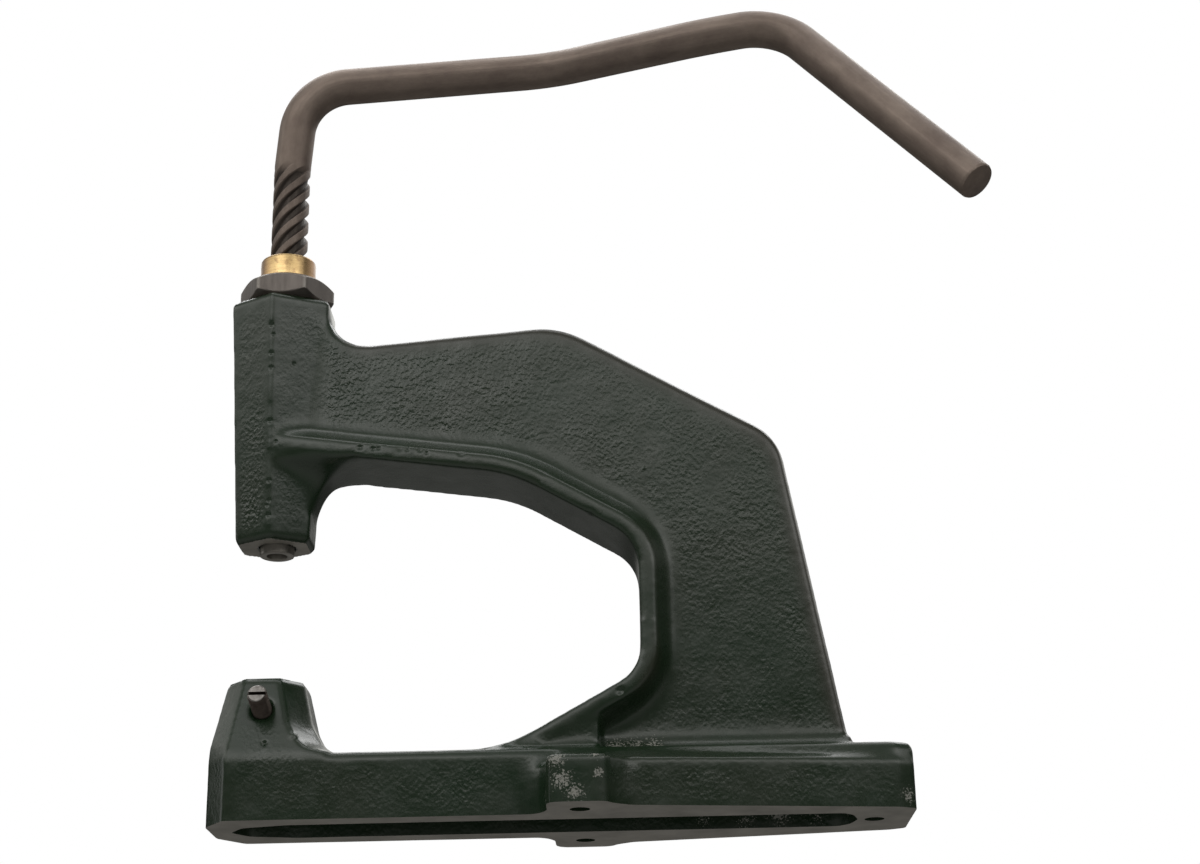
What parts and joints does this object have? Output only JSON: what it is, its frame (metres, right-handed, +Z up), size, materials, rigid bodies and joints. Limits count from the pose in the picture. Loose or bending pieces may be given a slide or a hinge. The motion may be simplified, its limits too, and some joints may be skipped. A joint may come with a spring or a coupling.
{
  "type": "snap button press",
  "caption": "Bench hand press for snap fasteners: cast C-frame, fast screw spindle turned by a bent bar handle, guided ram above a die pillar.",
  "frame": {"origin": "middle of the whole press's bounding box in plan, on the underside of the base", "axes": "+Z up along the spindle, +X from the head towards the rear of the base, +Y away from the side that carries the die clamp screw"},
  "size_m": [0.2688, 0.1024, 0.3013],
  "materials": {
    "green_paint": "gloss",
    "blackened_steel": "satin black oxide",
    "nut_steel": "satin, dark",
    "ground_steel": "ground",
    "brass": "turned",
    "screw_steel": "satin"
  },
  "bodies": {
    "frame": {"frame_casting": "green_paint", "thread_bush": "brass", "lock_nut": "nut_steel", "ram_key_screw": "screw_steel"},
    "ram_unit": {"ram": "ground_steel", "thrust_ball": "ground_steel", "ram_pin_front": "ground_steel", "ram_pin_rear": "ground_steel"},
    "spindle": {"spindle_handle": "blackened_steel"},
    "clamp_screw": {"die_clamp_screw": "screw_steel"}
  },
  "joints": [
    {"name": "ram_travel", "type": "slide", "parent": "frame", "child": "ram_unit", "axis": [0, 0, 1], "range_m": [-0.0311, 0.0027]},
    {"name": "spindle_turn", "type": "hinge", "parent": "ram_unit", "child": "spindle", "pos_m": [-0.11446, 0.00977, 0.1693], "axis": [0, 0, 1], "range_deg": [-290, 25]},
    {"name": "clamp_screw_travel", "type": "slide", "parent": "frame", "child": "clamp_screw", "axis": [0, -0.9641, 0.2656], "range_m": [-0.006, 0.003]}
  ],
  "couplings": [
    {"joint": "ram_travel", "follows": "spindle_turn", "m_per_rad": 0.0061275}
  ]
}
